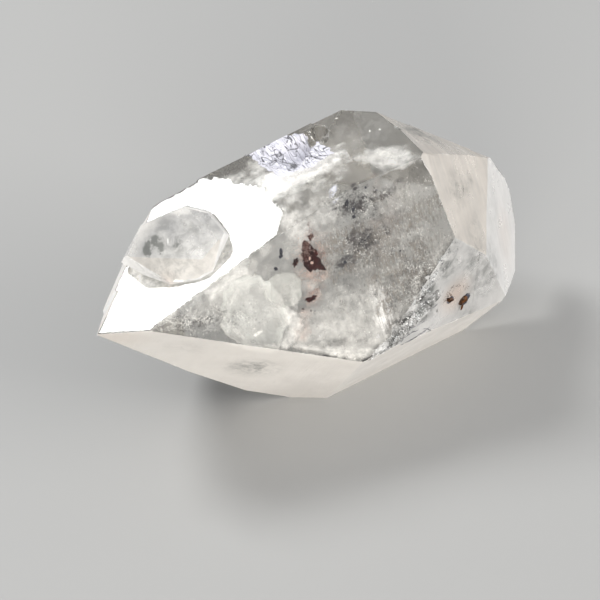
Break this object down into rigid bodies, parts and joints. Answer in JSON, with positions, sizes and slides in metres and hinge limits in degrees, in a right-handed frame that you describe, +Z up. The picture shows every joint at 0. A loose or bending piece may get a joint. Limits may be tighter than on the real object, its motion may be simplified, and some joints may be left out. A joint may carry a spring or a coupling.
{
  "type": "double terminated quartz crystal",
  "caption": "Clear, stubby six-sided quartz crystal with a point at each end and a small crystal grown on its shoulder, lying on one prism face",
  "frame": {"origin": "centre of the bounding box in plan, on the face the crystal rests on", "axes": "+Z up, +X along the crystal's long axis towards its blunt end, +Y to the back"},
  "size_m": [0.036, 0.018, 0.0203],
  "materials": {
    "quartz": "clear to milky natural quartz with glassy faces, frosted at the low front face and at the blunt end"
  },
  "bodies": {
    "root": {"quartz_crystal": "quartz"}
  },
  "joints": []
}
